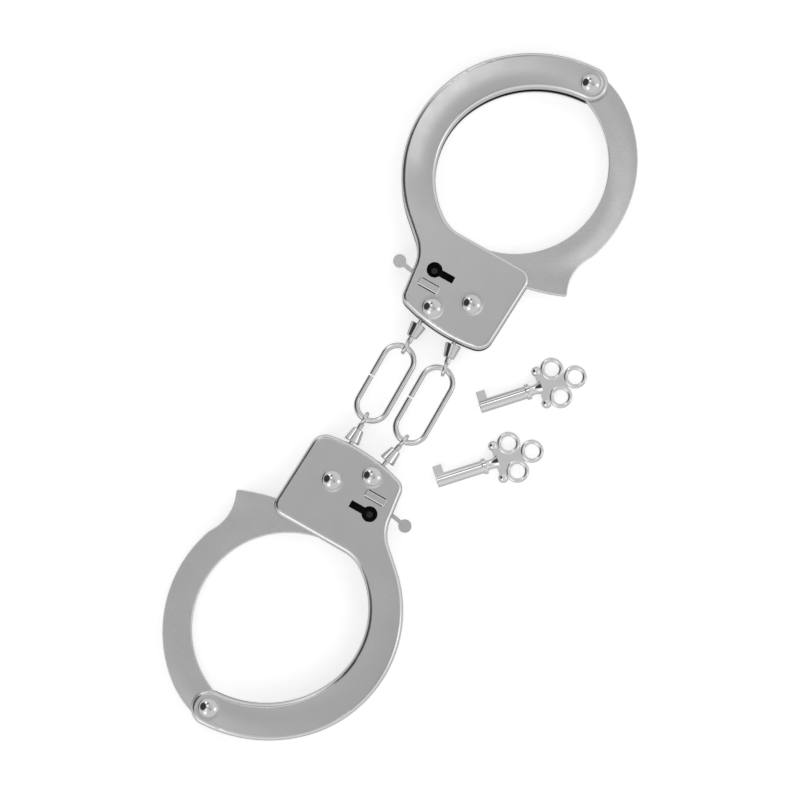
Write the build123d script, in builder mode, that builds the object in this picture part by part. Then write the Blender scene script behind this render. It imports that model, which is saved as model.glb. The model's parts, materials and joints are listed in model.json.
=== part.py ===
from build123d import *
import os
from math import cos, radians, sin

# A pair of handcuffs joined by two chain links, lying flat with its two keys.
# Millimetres and degrees. +Y runs along the chain and +Z points up.
# The origin is under the middle of the whole set, at the height it rests on.
#
# Each cuff is drawn in a frame of its own: its origin is the middle of the
# wrist opening, -Y points to the chain and +Z to the side with the keyhole.

# Where the pieces lie
chain_x = -4.641
mid_z = 5.5
ring_offset = 1.6
ring_y = 80.0
eye_y = 13.05
link_x = (-6.2, 7.9)
stem_x = (-6.2, 6.2)
stem_y = 22.6

# Thickness of the layers, from each cuff's middle plane
arm_half = 1.3
arm_bevel = 0.3
pawl_half = 1.2
lever_half = 0.6
flange_z = 1.5
cavity_z = 2.8
plate_z = 4.0
wall = 1.2
edge_round = 1.4
dish_depth = 0.06
dish_radius = 3.9
dome_z = 5.5
dome_radius = 3.15
clearance = 0.05

# Rivets
pivot = (5.0, 35.3)
pawl_pivot = (6.9, -45.0)
case_pin = (-3.4, -52.2)
rivet_radius = 1.5
tail_radius = 1.2
washer_radius = 3.2

# Ratchet: angles about the arm's pivot, with the teeth on the outer edge
tooth_radius = 68.5
tooth_depth = 0.9
tooth_pitch = 1.5
tooth_count = 18
tooth_start = -106.5
pawl_start = -103.5
pawl_teeth = 4
mesh_gap = 0.15
mesh_lag = 0.07
tooth_lean = 0.45
pawl_lift = 4.6
spur_angle = -67.0

# Lock
keyhole = (-8.6, -41.5)
keyhole_radius = 2.5
slot_reach = 6.9
slot_width = 2.3
post_radius = 1.0
bridge_centre = (-7.7, -46.8)
bridge_size = (7.2, 2.2)
bridge_rise = 0.45
bridge_round = 0.3
bridge_slit = 0.3
post_top = 1.5
hub_radius = 3.0
lever_disc = (-19.9, -43.9)
disc_radius = 2.1
lever_width = 1.3
spring_strip = 0.35

# Chain
link_radius = 0.9
link_bend = 5.0
link_gap = 0.5
eye_ring = 1.85
eye_wire = 0.62
shank_radius = 0.7
neck_radius = 0.9
cone_narrow = 1.75
cone_wide = 2.65
cone_start = 3.75
cone_length = 4.5
cone_bevel = 0.2
head_radius = 1.5
head_start = 12.15
head_length = 0.55
swivel_washer = (3.2, 5.2, 0.6)
washer_start = 11.5

# Keys
key_spots = ((23.5, 8.5), (23.2, -18.8))
key_turn = 47.3
barrel_radius = 2.05
barrel_bore = 1.2
bore_depth = 8.0
collar_radius = 2.55
bit_size = (2.9, 4.85, 1.6)
bar_x = 20.3
ball_y = 5.3
ball_radius = 1.6
bar_half = 0.8
bow_ring = 3.0
bow_wire = 0.72
bow_spots = ((25.2, 4.6), (31.5, 0.0), (25.2, -4.6))
web_half = 0.5


def polar(centre, radius, angle):
    """The point at a radius and an angle about a centre."""
    return (centre[0] + radius * cos(radians(angle)), centre[1] + radius * sin(radians(angle)))


def cuff_frame(number):
    """The frame of cuff 1 or 2; the second is the first turned half round."""
    side = 1 if number == 1 else -1
    middle = (chain_x - side * ring_offset, side * ring_y, mid_z)
    return Plane(origin=middle, x_dir=(side, 0, 0), z_dir=(0, 0, 1))


def at(frame, spot, height=0.0, turn=0.0):
    """A plane at a spot of a frame, raised by a height and turned about the upright."""
    return Plane(frame.location * Location((spot[0], spot[1], height), (0, 0, turn)))


def plate_outline():
    """Outline that both plates share: a curved strand that widens into the lock case."""
    with BuildSketch() as outline:
        with BuildLine():
            outer = ThreePointArc((-25.2, 28.1), (-37.7, -1.2), (-23.5, -31.6))
            Line((-23.5, -31.6), (-19.5, -35.2))
            ThreePointArc((-19.5, -35.2), (-16.2, -39.2), (-14.8, -44.5))
            Line((-14.8, -44.5), (-13.5, -54.6))
            ThreePointArc((-13.5, -54.6), (2.0, -57.8), (18.2, -56.2))
            Line((18.2, -56.2), (19.5, -27.4))
            Line((19.5, -27.4), (-10.4, -27.4))
            inner = ThreePointArc((-10.4, -27.4), (-26.4, -2.5), (-24.0, 9.3))
            TangentArc((-24.0, 9.3), (5.47, 29.82), tangent=inner % 1)
            ThreePointArc((5.47, 29.82), (10.5, 35.3), (4.7, 40.79))
            TangentArc((-25.2, 28.1), (4.7, 40.79), tangent=(outer % 0) * -1)
        make_face()
        corners = (((-13.5, -54.6), 3.5), ((18.2, -56.2), 5), ((19.5, -27.4), 4), ((-10.4, -27.4), 12))
        for corner, radius in corners:
            fillet(outline.vertices().sort_by_distance(corner)[0], radius)
    return outline.sketch


def plate(frame, side):
    """A pressed plate on side +1 or -1: a flat face, round edges and a low flange all round."""
    outline = plate_outline()
    with BuildPart() as shell:
        with BuildSketch(frame.offset(side * flange_z)):
            add(outline)
        extrude(amount=side * (plate_z - flange_z))
        fillet(shell.faces().sort_by(Axis.Z)[-1 if side > 0 else 0].edges(), edge_round)
        with BuildSketch(frame.offset(side * flange_z)):
            add(outline)
            offset(amount=-wall, mode=Mode.REPLACE)
        extrude(amount=side * (cavity_z - flange_z), mode=Mode.SUBTRACT)
        dish = (dome_radius, dish_radius) if side > 0 else (dish_radius, dome_radius)
        for spot in (pivot, pawl_pivot, case_pin):
            with Locations(at(frame, spot, side * (plate_z - dish_depth / 2))):
                Cone(*dish, dish_depth, mode=Mode.SUBTRACT)
            with BuildSketch(at(frame, spot)):
                Circle(tail_radius)
            extrude(amount=side * dome_z, mode=Mode.SUBTRACT)
    return shell


def keyhole_plate(frame):
    """The front plate, with the keyhole and the raised bridge that guides the lock."""
    with BuildPart() as shell:
        add(plate(frame, 1).part)
        with BuildSketch(at(frame, keyhole, flange_z)):
            Circle(keyhole_radius)
            Rectangle(slot_reach, slot_width, align=(Align.MIN, Align.CENTER))
        extrude(amount=dome_z, mode=Mode.SUBTRACT)
        with BuildSketch(at(frame, bridge_centre, cavity_z)):
            Rectangle(*bridge_size)
        extrude(amount=plate_z - cavity_z + bridge_rise)
        fillet(shell.faces().sort_by(Axis.Z)[-1].edges(), bridge_round)
        with BuildSketch(at(frame, bridge_centre, flange_z)):
            with GridLocations(0, bridge_size[1] + bridge_slit, 1, 2):
                Rectangle(bridge_size[0] - 1, bridge_slit)
        extrude(amount=dome_z, mode=Mode.SUBTRACT)
    return shell


def rivet(frame, spot):
    """A shouldered rivet: a domed head on each face and a thicker shank between the plates."""
    seat = plate_z - dish_depth
    side_view = Plane(at(frame, spot).origin, x_dir=frame.x_dir, z_dir=frame.y_dir * -1)
    with BuildPart() as pin:
        with BuildSketch(side_view):
            with BuildLine():
                TangentArc((0, dome_z), (dome_radius, seat), tangent=(1, 0))
                Polyline(
                    (dome_radius, seat),
                    (tail_radius, seat),
                    (tail_radius, cavity_z),
                    (rivet_radius, cavity_z),
                    (rivet_radius, 0),
                    (0, 0),
                    (0, dome_z),
                )
            make_face()
            mirror(about=side_view.rotated((90, 0, 0)))
        revolve(axis=Axis(side_view.origin, (0, 0, 1)))
    return pin


def washers(frame, spot, inner_z):
    """Two washers on a rivet, one between the moving piece and each plate."""
    with BuildPart() as rings:
        for start in (inner_z + clearance, -cavity_z):
            with BuildSketch(at(frame, spot, start)):
                Circle(washer_radius)
                Circle(rivet_radius, mode=Mode.SUBTRACT)
            extrude(amount=cavity_z - inner_z - clearance)
    return rings


def saw_teeth(start, count, root, lag=0.0):
    """Points of a row of ratchet teeth, whose steep sides lean along the pawl's path as it lifts."""
    points = [polar(pivot, root, start + lag)]
    for number in range(1, count + 1):
        angle = start + lag + number * tooth_pitch
        points.append(polar(pivot, root + tooth_depth, angle - tooth_lean))
        points.append(polar(pivot, root, angle))
    return points


def swing_arm(frame):
    """The single strand: a flat curved arm with a ratchet at its end and a spur for a stop."""
    end_of_teeth = tooth_start + tooth_count * tooth_pitch
    teeth = saw_teeth(tooth_start, tooth_count, tooth_radius - tooth_depth)
    tip = polar(pivot, tooth_radius, tooth_start)
    spur = polar(pivot, tooth_radius, spur_angle)
    middle_of_edge = polar(pivot, tooth_radius, (tooth_start + spur_angle) / 2)
    with BuildPart() as arm:
        with BuildSketch(frame.offset(-arm_half)):
            with BuildLine():
                outer = ThreePointArc((32.5, -12.5), (35.0, 1.6), (19.5, 33.7))
                shoulder = TangentArc(outer @ 1, (5.7, 39.82), tangent=outer % 1)
                TangentArc(shoulder @ 1, (3.8, 30.9), tangent=shoulder % 1)
                ThreePointArc((3.8, 30.9), (26.0, 2.0), (-13.6, -26.3))
                ThreePointArc((32.5, -12.5), (29.9, -20.0), spur)
                ThreePointArc(spur, middle_of_edge, tip)
                Line(tip, (-13.6, -26.3))
            make_face()
        extrude(amount=2 * arm_half)
        for corner, radius in ((spur, 0.8), ((32.5, -12.5), 4), (tip, 1.2), ((-13.6, -26.3), 1.2)):
            uprights = arm.edges().filter_by(Axis.Z)
            fillet(uprights.sort_by_distance(at(frame, corner).origin)[0], radius)
        chamfer(arm.faces().filter_by(Axis.Z).edges(), arm_bevel)
        with BuildSketch(frame.offset(-arm_half)):
            with BuildLine():
                Polyline(
                    *teeth,
                    polar(pivot, tooth_radius + 1, end_of_teeth),
                    polar(pivot, tooth_radius + 1, (tooth_start + end_of_teeth) / 2),
                    polar(pivot, tooth_radius + 1, tooth_start - tooth_pitch),
                    teeth[0],
                )
            make_face()
            with Locations(pivot):
                Circle(rivet_radius + clearance)
        extrude(amount=2 * arm_half, mode=Mode.SUBTRACT)
    return arm


def pawl(frame):
    """The pawl, lifted clear of the ratchet, with the release lever that runs out of the case."""
    lifted = at(frame, pawl_pivot, -pawl_half, pawl_lift)
    shift = Location((-pawl_pivot[0], -pawl_pivot[1], 0))
    teeth = saw_teeth(pawl_start, pawl_teeth, tooth_radius - tooth_depth + mesh_gap, mesh_lag)
    with BuildPart() as piece:
        with BuildSketch(Plane(lifted.location * shift)):
            with BuildLine():
                Polyline(*teeth, (-2.6, -33.9), (9.0, -42.9), (5.5, -47.0), (-2.6, -37.2), (-5.4, -35.9))
                ThreePointArc((-5.4, -35.9), (-8.5, -35.3), (-11.5, -34.4))
                Line((-11.5, -34.4), teeth[0])
            make_face()
            with Locations(pawl_pivot):
                Circle(hub_radius)
        extrude(amount=2 * pawl_half)
        with BuildSketch(frame.offset(-lever_half)):
            with BuildLine():
                Polyline((4.4, -46.4), (-8.6, -45.6), (-15.5, -44.7), lever_disc)
            trace(line_width=lever_width)
            with Locations(lever_disc):
                Circle(disc_radius)
        extrude(amount=2 * lever_half)
        with BuildSketch(at(frame, pawl_pivot, -cavity_z)):
            Circle(rivet_radius + clearance)
        extrude(amount=2 * cavity_z, mode=Mode.SUBTRACT)
    return piece


def pawl_spring(frame):
    """A strip spring wound once round the case rivet, with a leg under the release lever."""
    with BuildPart() as leaf:
        with BuildSketch(frame.offset(-pawl_half)):
            with Locations(case_pin):
                Circle(rivet_radius + spring_strip)
            with BuildLine():
                ThreePointArc((-5.0, -51.6), (-10.3, -50.0), (-11.2, -46.2))
            trace(line_width=spring_strip)
            with Locations(case_pin):
                Circle(rivet_radius, mode=Mode.SUBTRACT)
        extrude(amount=2 * pawl_half)
    return leaf


def key_post(frame):
    """The post that the key's hollow shank turns on."""
    with BuildPart() as post:
        with BuildSketch(at(frame, keyhole, -cavity_z)):
            Circle(post_radius)
        extrude(amount=cavity_z + post_top)
    return post


def swivel_frame(number, lane):
    """A swivel's frame: its origin is the middle of the eye and +Z runs up the shank."""
    side = 1 if number == 1 else -1
    eye = Vector(chain_x + link_x[lane], side * eye_y, mid_z)
    stem = Vector(chain_x + stem_x[lane], side * stem_y, mid_z)
    return Plane(origin=eye, x_dir=(0, 0, 1), z_dir=(stem - eye).normalized())


def swivel_eye(swivel):
    """An eye with its shank, which ends in a head inside the case."""
    with BuildPart(swivel) as eye:
        Torus(eye_ring, eye_wire, rotation=(90, 0, 0))
        with BuildSketch(swivel.offset(eye_ring)):
            Circle(neck_radius)
        extrude(amount=cone_start - eye_ring)
        with BuildSketch(swivel.offset(eye_ring)):
            Circle(shank_radius)
        extrude(amount=head_start - eye_ring)
        with BuildSketch(swivel.offset(head_start)):
            Circle(head_radius)
        extrude(amount=head_length)
    return eye


def swivel_cone(swivel):
    """The tapered collar on a swivel's shank."""
    with BuildPart() as cone:
        with Locations(swivel.offset(cone_start + cone_length / 2)):
            Cone(cone_narrow, cone_wide, cone_length)
            Cylinder(shank_radius, cone_length, mode=Mode.SUBTRACT)
        chamfer(cone.edges().filter_by(GeomType.CIRCLE).sort_by(SortBy.LENGTH)[-2:], cone_bevel)
    return cone


def swivel_washers(number):
    """The two retaining washers that hold a cuff's swivels behind the flanges."""
    with BuildPart() as pads:
        for lane in range(len(link_x)):
            swivel = swivel_frame(number, lane)
            with BuildSketch(swivel.offset(washer_start)):
                Rectangle(swivel_washer[1], swivel_washer[0])
                Circle(shank_radius + clearance, mode=Mode.SUBTRACT)
            extrude(amount=swivel_washer[2])
    return pads


def chain_link(lane):
    """An oblong wire link with a butt joint on its left side."""
    middle = Plane((chain_x + link_x[lane], 0, mid_z))
    straight = eye_y - link_bend
    with BuildPart() as link:
        with BuildLine(middle):
            Line((-link_bend, link_gap / 2), (-link_bend, straight))
            ThreePointArc((-link_bend, straight), (0, eye_y), (link_bend, straight))
            Line((link_bend, straight), (link_bend, -straight))
            ThreePointArc((link_bend, -straight), (0, -eye_y), (-link_bend, -straight))
            Line((-link_bend, -straight), (-link_bend, -link_gap / 2))
        with BuildSketch(Plane(middle.from_local_coords((-link_bend, link_gap / 2, 0)), z_dir=(0, 1, 0))):
            Circle(link_radius)
        sweep()
    return link


def key(spot):
    """A barrel key: hollow shank, bit, collar, cross bar with two balls and a bow of three rings."""
    lying = Plane((chain_x + spot[0], spot[1], collar_radius), z_dir=(0, 0, 1)).rotated((0, 0, key_turn))
    end_on = Plane(lying.origin, x_dir=lying.y_dir, z_dir=lying.x_dir)
    with BuildPart() as piece:
        with BuildSketch(lying):
            with BuildLine():
                Polyline(
                    (0, 0),
                    (0, barrel_radius),
                    (15.0, barrel_radius),
                    (15.2, collar_radius),
                    (16.4, collar_radius),
                    (16.6, 1.7),
                    (17.4, 1.5),
                )
                TangentArc((17.4, 1.5), (bar_x, 2.3), tangent=(1, 0))
                Polyline((bar_x, 2.3), (bar_x, 0), (0, 0))
            make_face()
        revolve(axis=Axis(lying.origin, lying.x_dir))
        with BuildSketch(end_on):
            Circle(barrel_bore)
        extrude(amount=bore_depth, mode=Mode.SUBTRACT)
        with BuildSketch(lying.offset(-bit_size[2] / 2)):
            with Locations((0, barrel_radius - 0.5)):
                Rectangle(bit_size[0], bit_size[1] - barrel_radius + 0.5, align=Align.MIN)
        extrude(amount=bit_size[2])
        with BuildSketch(lying.offset(-bar_half)):
            with Locations((bar_x, 0)):
                Rectangle(2 * bar_half, 2 * ball_y)
        extrude(amount=2 * bar_half)
        with Locations(*[at(lying, (bar_x, side * ball_y)) for side in (-1, 1)]):
            Sphere(ball_radius, rotation=(90, 0, 0))
        with BuildSketch(lying.offset(-web_half)):
            with BuildLine():
                Polyline((bar_x, -4.4), (bar_x, 4.4), *bow_spots, (bar_x, -4.4))
            make_face()
            with Locations(*bow_spots):
                Circle(bow_ring, mode=Mode.SUBTRACT)
        extrude(amount=2 * web_half)
        with Locations(*[at(lying, bow_spot) for bow_spot in bow_spots]):
            Torus(bow_ring, bow_wire)
    return piece


def cuff(number):
    """Every fixed and moving piece of one cuff, by name."""
    frame = cuff_frame(number)
    return {
        f"front_plate_{number}": keyhole_plate(frame),
        f"rear_plate_{number}": plate(frame, -1),
        f"swing_arm_{number}": swing_arm(frame),
        f"pivot_rivet_{number}": rivet(frame, pivot),
        f"pawl_rivet_{number}": rivet(frame, pawl_pivot),
        f"case_rivet_{number}": rivet(frame, case_pin),
        f"pivot_washers_{number}": washers(frame, pivot, arm_half),
        f"pawl_washers_{number}": washers(frame, pawl_pivot, pawl_half),
        f"pawl_{number}": pawl(frame),
        f"pawl_spring_{number}": pawl_spring(frame),
        f"key_post_{number}": key_post(frame),
        f"swivel_washers_{number}": swivel_washers(number),
        f"swivel_eye_{number}a": swivel_eye(swivel_frame(number, 0)),
        f"swivel_eye_{number}b": swivel_eye(swivel_frame(number, 1)),
        f"swivel_cone_{number}a": swivel_cone(swivel_frame(number, 0)),
        f"swivel_cone_{number}b": swivel_cone(swivel_frame(number, 1)),
    }


pieces = {**cuff(1), **cuff(2)}
pieces["link_a"] = chain_link(0)
pieces["link_b"] = chain_link(1)
pieces["key_1"] = key(key_spots[0])
pieces["key_2"] = key(key_spots[1])

os.makedirs("parts", exist_ok=True)
for name, piece in pieces.items():
    piece.part.label = name
    export_step(piece.part, f"parts/{name}.step")
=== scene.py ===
import json
import math

import bpy
from mathutils import Matrix, Vector

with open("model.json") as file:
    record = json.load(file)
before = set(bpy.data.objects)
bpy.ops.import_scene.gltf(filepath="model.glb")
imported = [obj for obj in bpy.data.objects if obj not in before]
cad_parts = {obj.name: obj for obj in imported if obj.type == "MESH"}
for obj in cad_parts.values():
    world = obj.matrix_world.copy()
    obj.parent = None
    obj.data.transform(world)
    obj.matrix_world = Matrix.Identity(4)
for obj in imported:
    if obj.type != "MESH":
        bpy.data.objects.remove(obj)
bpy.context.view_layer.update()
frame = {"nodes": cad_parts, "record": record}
nodes = frame["nodes"]
slot_of = {part["node"]: part["material_slot"] for part in frame["record"]["subparts"]}

# Where the camera stands: metres, degrees
CAMERA_ELEVATION = 84.0
CAMERA_AZIMUTH = -34.481
CAMERA_ROLL = -4.836
CAMERA_TARGET = Vector((-0.004451, -0.00188, 0.0))
CAMERA_DISTANCE = 0.761548
CAMERA_LENS = 108.0
SENSOR_WIDTH = 36.0

# The cuffs, in metres: the height of their middle plane, and the middle of each ring
MIDDLE_HEIGHT = 0.0055
RINGS = {1: (-0.0032, 0.0785), 2: (-0.0060, -0.0785)}

# The crown of each strand, in metres: its top's distance from the middle of the ring, its half
# width, its height, and the stretch along the chain, counted from the ring, where it fades out
CROWN_RADIUS = 0.0345
CROWN_HALF = 0.009
CROWN_HEIGHT = 0.0004
CROWN_FADE = (-0.027, -0.012)

# The plating: the satin faces, a painted highlight on the rims as a lighter colour, and painted
# shade as a near-black colour on the faces inside a case.
# A rim starts and ends where the upright part of the surface's normal passes these values.
SATIN = (0.60, 0.60, 0.602)
RIM_PAINTED_HIGHLIGHT = (0.84, 0.84, 0.84)
CASE_PAINTED_SHADE = (0.035, 0.034, 0.033)
RIM_START = 0.98
RIM_END = 0.86
INWARD_LIMIT = -0.5
INSIDE_ROUGHNESS = 0.35

# Detail of the plating: cells per metre, and the depth of a bump in metres
CLOUD_SCALE = 90.0
CLOUD_SHARE = 0.6
MOTTLE_SCALE = 1800.0
GLOSS_SCALE = 260.0
GLOSS_SPREAD = 0.12
WAVE_SCALE = 130.0
WAVE_DEPTH = 0.0004
GRAIN_SCALE = 2500.0
KEY_GRAIN_SCALE = 1200.0
GRAIN_DEPTH = 0.00003
TINT = 0.04

# The studio's light: radiance of the walls and of the ceiling, the tilts from the upright where one
# turns into the other, then each lamp or dark screen as its tilt, its turn from the picture's
# right, its radius, softness and radiance
ROOM_LEVEL = 0.95
CEILING_LEVEL = 0.73
CEILING_EDGE = (42, 16)
LAMPS = (
    (43, 122, 22, 6, 1.5),
    (19, 104, 4, 4, 2.2),
    (27, 222, 13, 7, 1.3),
    (54, 121, 10, 5, 2.8),
    (52, 236, 12, 5, 2.0),
    (64, -12, 11, 5, 2.0),
    (44, 99, 11, 4, 0.3),
    (24, -32, 7, 3, 0.38),
    (55, 163, 32, 5, 0.06),
)

# The floor, which glows a little: its shade and glow as the camera sees it, and as the metal
# reflects it, and half its side in metres
FLOOR_SEEN = 0.93
FLOOR_GLOW = 0.5
FLOOR_REFLECTED = 0.3
FLOOR_REFLECTED_GLOW = 0.36
FLOOR_HALF = 4.0


def link(tree, output, socket):
    """Connects an output to an input socket."""
    tree.links.new(output, socket)


def noise(tree, coordinates, scale, detail=2.0, roughness=0.5):
    """Noise at a scale in cells per metre."""
    made = tree.nodes.new("ShaderNodeTexNoise")
    made.inputs["Scale"].default_value = scale
    made.inputs["Detail"].default_value = detail
    made.inputs["Roughness"].default_value = roughness
    link(tree, coordinates, made.inputs["Vector"])
    return made.outputs["Fac"]


def spread(tree, value, low, high):
    """Maps a noise value, which keeps near the middle of 0 to 1, to a range."""
    made = tree.nodes.new("ShaderNodeMapRange")
    made.inputs["From Min"].default_value = 0.25
    made.inputs["From Max"].default_value = 0.75
    made.inputs["To Min"].default_value = low
    made.inputs["To Max"].default_value = high
    link(tree, value, made.inputs["Value"])
    return made.outputs["Result"]


def maths(tree, operation, first, second=0.0, third=0.0):
    """One arithmetic step on outputs or numbers."""
    made = tree.nodes.new("ShaderNodeMath")
    made.operation = operation
    for socket, value in zip(made.inputs, (first, second, third)):
        if isinstance(value, (int, float)):
            socket.default_value = value
        else:
            link(tree, value, socket)
    return made.outputs[0]


def blend_colour(tree, share, first, second):
    """Mixes two colours, each an output or a tuple."""
    made = tree.nodes.new("ShaderNodeMix")
    made.data_type = "RGBA"
    link(tree, share, made.inputs[0])
    for socket, value in zip((made.inputs[6], made.inputs[7]), (first, second)):
        if isinstance(value, tuple):
            socket.default_value = (*value, 1.0)
        else:
            link(tree, value, socket)
    return made.outputs[2]


def smooth_step(tree, value, start, end, low=0.0, high=1.0):
    """Goes smoothly from low to high as a value goes from start to end."""
    made = tree.nodes.new("ShaderNodeMapRange")
    made.interpolation_type = "SMOOTHSTEP"
    made.inputs["From Min"].default_value = start
    made.inputs["From Max"].default_value = end
    made.inputs["To Min"].default_value = low
    made.inputs["To Max"].default_value = high
    link(tree, value, made.inputs["Value"])
    return made.outputs["Result"]


def parts_of(tree, vector):
    """The X, Y and Z outputs of a vector."""
    made = tree.nodes.new("ShaderNodeSeparateXYZ")
    link(tree, vector, made.inputs["Vector"])
    return made.outputs


def bump(tree, height, distance, strength, under=None):
    """Adds a bump over any earlier one."""
    made = tree.nodes.new("ShaderNodeBump")
    made.inputs["Strength"].default_value = strength
    made.inputs["Distance"].default_value = distance
    link(tree, height, made.inputs["Height"])
    if under is not None:
        link(tree, under, made.inputs["Normal"])
    return made.outputs["Normal"]


def crown_height(tree, place, ring):
    """How high the crown of the strand round a ring's middle stands, from 0 to 1."""
    flat = tree.nodes.new("ShaderNodeVectorMath")
    flat.operation = "MULTIPLY"
    link(tree, place, flat.inputs[0])
    flat.inputs[1].default_value = (1.0, 1.0, 0.0)
    away = tree.nodes.new("ShaderNodeVectorMath")
    away.operation = "DISTANCE"
    link(tree, flat.outputs["Vector"], away.inputs[0])
    away.inputs[1].default_value = (*ring, 0.0)
    per_metre = math.pi / CROWN_HALF
    phase = maths(tree, "MULTIPLY_ADD", away.outputs["Value"], per_metre, -per_metre * CROWN_RADIUS)
    phase = maths(tree, "MAXIMUM", maths(tree, "MINIMUM", phase, math.pi), -math.pi)
    crown = maths(tree, "MULTIPLY_ADD", maths(tree, "COSINE", phase), 0.5, 0.5)
    side = math.copysign(1.0, ring[1])
    along = maths(tree, "MULTIPLY_ADD", parts_of(tree, place)["Y"], side, -abs(ring[1]))
    return maths(tree, "MULTIPLY", crown, smooth_step(tree, along, *CROWN_FADE))


def metal(
    name, colour, roughness, grain, grain_scale=GRAIN_SCALE, wave=0.0, ring=None, hollow=False
):
    """Nickel plate: faint clouding, uneven gloss, fine grain and a soft waviness.

    With ring, the strand round that middle is very slightly crowned and the rims get a painted
    highlight, a lighter colour. With hollow, faces that look into the case get painted shade, dull
    and near black.
    """
    material = bpy.data.materials.new(name)
    material.use_nodes = True
    tree = material.node_tree
    tree.nodes.clear()
    shader = tree.nodes.new("ShaderNodeBsdfPrincipled")
    output = tree.nodes.new("ShaderNodeOutputMaterial")
    link(tree, shader.outputs["BSDF"], output.inputs["Surface"])
    shader.inputs["Metallic"].default_value = 1.0
    coordinates = tree.nodes.new("ShaderNodeTexCoord")
    place = coordinates.outputs["Object"]

    cloud = maths(tree, "MULTIPLY", noise(tree, place, CLOUD_SCALE, 4.0, 0.6), CLOUD_SHARE)
    mottle = noise(tree, place, MOTTLE_SCALE, 3.0, 0.7)
    mottle = maths(tree, "MULTIPLY_ADD", mottle, 1.0 - CLOUD_SHARE, cloud)
    plating_and_painted_light = blend_colour(
        tree,
        spread(tree, mottle, 0.0, 1.0),
        tuple(c * (1 - TINT) for c in colour),
        tuple(min(1.0, c * (1 + TINT)) for c in colour),
    )
    gloss = spread(
        tree,
        noise(tree, place, GLOSS_SCALE, 5.0, 0.65),
        roughness * (1 - GLOSS_SPREAD),
        roughness * (1 + GLOSS_SPREAD),
    )
    if ring:
        # Painted highlight: where the normal leans away from the upright, the rims get a lighter
        # colour.
        upright = maths(tree, "ABSOLUTE", parts_of(tree, coordinates.outputs["Normal"])["Z"])
        plating_and_painted_light = blend_colour(tree, smooth_step(tree, upright, RIM_START, RIM_END), plating_and_painted_light, RIM_PAINTED_HIGHLIGHT)
    if hollow:
        # Painted shade: faces that look into the case are made near black and duller.
        height = maths(tree, "SUBTRACT", parts_of(tree, place)["Z"], MIDDLE_HEIGHT)
        above = maths(tree, "SIGN", height)
        outward = maths(tree, "MULTIPLY", above, parts_of(tree, coordinates.outputs["Normal"])["Z"])
        inward = maths(tree, "LESS_THAN", outward, INWARD_LIMIT)
        plating_and_painted_light = blend_colour(tree, inward, plating_and_painted_light, CASE_PAINTED_SHADE)
        gloss = maths(tree, "MULTIPLY_ADD", inward, INSIDE_ROUGHNESS, gloss)
    link(tree, plating_and_painted_light, shader.inputs["Base Color"])
    link(tree, gloss, shader.inputs["Roughness"])

    normal = None
    if ring:
        normal = bump(tree, crown_height(tree, place, ring), CROWN_HEIGHT, 1.0)
    if wave:
        normal = bump(tree, noise(tree, place, WAVE_SCALE, 1.0, 0.4), WAVE_DEPTH, wave, normal)
    normal = bump(tree, noise(tree, place, grain_scale, 3.0, 0.6), GRAIN_DEPTH, grain, normal)
    link(tree, normal, shader.inputs["Normal"])
    return material


def lit_paper(tree, shade, strength):
    """A matt surface of one shade that also glows."""
    matt = tree.nodes.new("ShaderNodeBsdfDiffuse")
    matt.inputs["Color"].default_value = (shade, shade, shade, 1)
    glow = tree.nodes.new("ShaderNodeEmission")
    glow.inputs["Strength"].default_value = strength
    both = tree.nodes.new("ShaderNodeAddShader")
    link(tree, matt.outputs["BSDF"], both.inputs[0])
    link(tree, glow.outputs["Emission"], both.inputs[1])
    return both.outputs["Shader"]


def camera_or_else(tree, seen, reflected):
    """Shows one shader to the camera and another to every other ray."""
    made = tree.nodes.new("ShaderNodeMixShader")
    link(tree, tree.nodes.new("ShaderNodeLightPath").outputs["Is Camera Ray"], made.inputs[0])
    link(tree, reflected, made.inputs[1])
    link(tree, seen, made.inputs[2])
    return made.outputs["Shader"]


# One finish for each material slot, and for the plates and arms one for each cuff
finishes = {
    "polished_rivet": metal("polished_nickel", (0.72, 0.72, 0.72), 0.09, 0.1, wave=0.1),
    "inner_steel": metal("dull_steel", (0.05, 0.05, 0.05), 0.5, 0.4),
    "chain_nickel": metal("bright_nickel", (0.74, 0.74, 0.74), 0.12, 0.1, wave=0.08),
    "key_nickel": metal("cast_nickel", (0.84, 0.84, 0.835), 0.14, 0.15, KEY_GRAIN_SCALE, wave=0.3),
}
for number, ring in RINGS.items():
    finishes[f"pressed_steel_{number}"] = metal(
        f"satin_plate_{number}", SATIN, 0.25, 0.25, wave=0.02, ring=ring, hollow=True
    )
    finishes[f"arm_steel_{number}"] = metal(
        f"satin_arm_{number}", SATIN, 0.27, 0.3, wave=0.02, ring=ring
    )

for name, cad in nodes.items():
    slot_name = slot_of[name]
    material = finishes.get(slot_name) or finishes[f"{slot_name}_{name[-1]}"]
    if not cad.material_slots:
        cad.data.materials.append(material)
    for cad_slot in cad.material_slots:
        cad_slot.material = material

# Floor
floor_mesh = bpy.data.meshes.new("floor")
corners = [(x * FLOOR_HALF, y * FLOOR_HALF, 0) for x, y in ((-1, -1), (1, -1), (1, 1), (-1, 1))]
floor_mesh.from_pydata(corners, [], [(0, 1, 2, 3)])
floor = bpy.data.objects.new("floor", floor_mesh)
bpy.context.scene.collection.objects.link(floor)
paper = bpy.data.materials.new("white_paper")
paper.use_nodes = True
sheet = paper.node_tree
sheet.nodes.clear()
surface = camera_or_else(
    sheet,
    lit_paper(sheet, FLOOR_SEEN, FLOOR_GLOW),
    lit_paper(sheet, FLOOR_REFLECTED, FLOOR_REFLECTED_GLOW),
)
link(sheet, surface, sheet.nodes.new("ShaderNodeOutputMaterial").inputs["Surface"])
floor_mesh.materials.append(paper)

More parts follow.
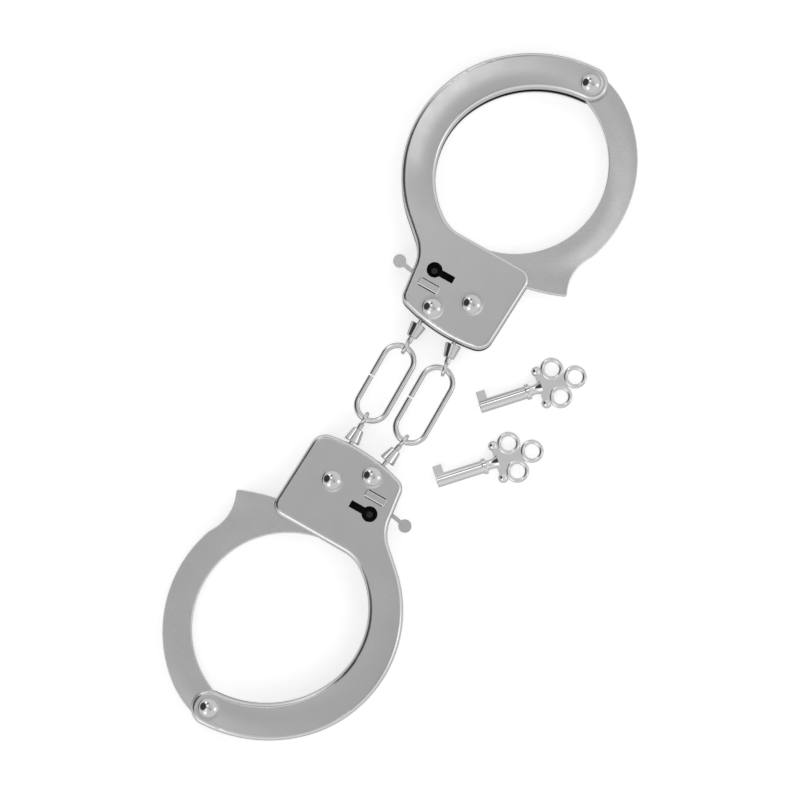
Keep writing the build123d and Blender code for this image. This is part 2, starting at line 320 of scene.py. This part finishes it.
# Camera
elevation = math.radians(CAMERA_ELEVATION)
azimuth = math.radians(CAMERA_AZIMUTH)
roll = math.radians(CAMERA_ROLL)
heading = Vector((math.sin(azimuth), math.cos(azimuth), 0.0))
upright = Vector((0.0, 0.0, 1.0))
forward = heading * math.cos(elevation) - upright * math.sin(elevation)
level_up = heading * math.sin(elevation) + upright * math.cos(elevation)
level_right = forward.cross(level_up)
right = level_right * math.cos(roll) + level_up * math.sin(roll)
up = level_up * math.cos(roll) - level_right * math.sin(roll)
camera_data = bpy.data.cameras.new("camera")
camera_data.sensor_width = SENSOR_WIDTH
camera_data.lens = CAMERA_LENS
camera_data.clip_start = 0.01
camera_data.clip_end = 20.0
camera = bpy.data.objects.new("camera", camera_data)
camera.matrix_world = Matrix.Translation(CAMERA_TARGET - forward * CAMERA_DISTANCE) @ Matrix(
    ((right.x, up.x, -forward.x), (right.y, up.y, -forward.y), (right.z, up.z, -forward.z))
).to_4x4()
bpy.context.scene.collection.objects.link(camera)
bpy.context.scene.camera = camera


def toward(tilt, turn):
    """The direction at a tilt from the upright, on the side at a turn from the picture's right."""
    lean = math.radians(tilt)
    way = math.radians(turn)
    sideways = (right * math.cos(way) + up * math.sin(way)).normalized()
    return (sideways * math.sin(lean) + upright * math.cos(lean)).normalized()


# A bright room with a grey ceiling, soft lamps and one dark side, which the metal reflects. The
# camera itself sees plain white.
world = bpy.data.worlds.new("studio")
bpy.context.scene.world = world
world.use_nodes = True
sky = world.node_tree
sky.nodes.clear()
direction = sky.nodes.new("ShaderNodeTexCoord").outputs["Generated"]
ceiling_starts, ceiling_is_full = (math.cos(math.radians(tilt)) for tilt in CEILING_EDGE)
height = parts_of(sky, direction)["Z"]
light = smooth_step(sky, height, ceiling_starts, ceiling_is_full, ROOM_LEVEL, CEILING_LEVEL)
for tilt, turn, radius, softness, strength in LAMPS:
    along = sky.nodes.new("ShaderNodeVectorMath")
    along.operation = "DOT_PRODUCT"
    link(sky, direction, along.inputs[0])
    along.inputs[1].default_value = toward(tilt, turn)
    outer = math.cos(math.radians(radius + softness))
    inner = math.cos(math.radians(radius - softness))
    share = smooth_step(sky, along.outputs["Value"], outer, inner)
    light = maths(sky, "MULTIPLY_ADD", share, maths(sky, "SUBTRACT", strength, light), light)
lit = sky.nodes.new("ShaderNodeBackground")
link(sky, light, lit.inputs["Strength"])
plain = sky.nodes.new("ShaderNodeBackground")
shown = camera_or_else(sky, plain.outputs["Background"], lit.outputs["Background"])
link(sky, shown, sky.nodes.new("ShaderNodeOutputWorld").inputs["Surface"])

bpy.context.scene.view_settings.view_transform = "Standard"
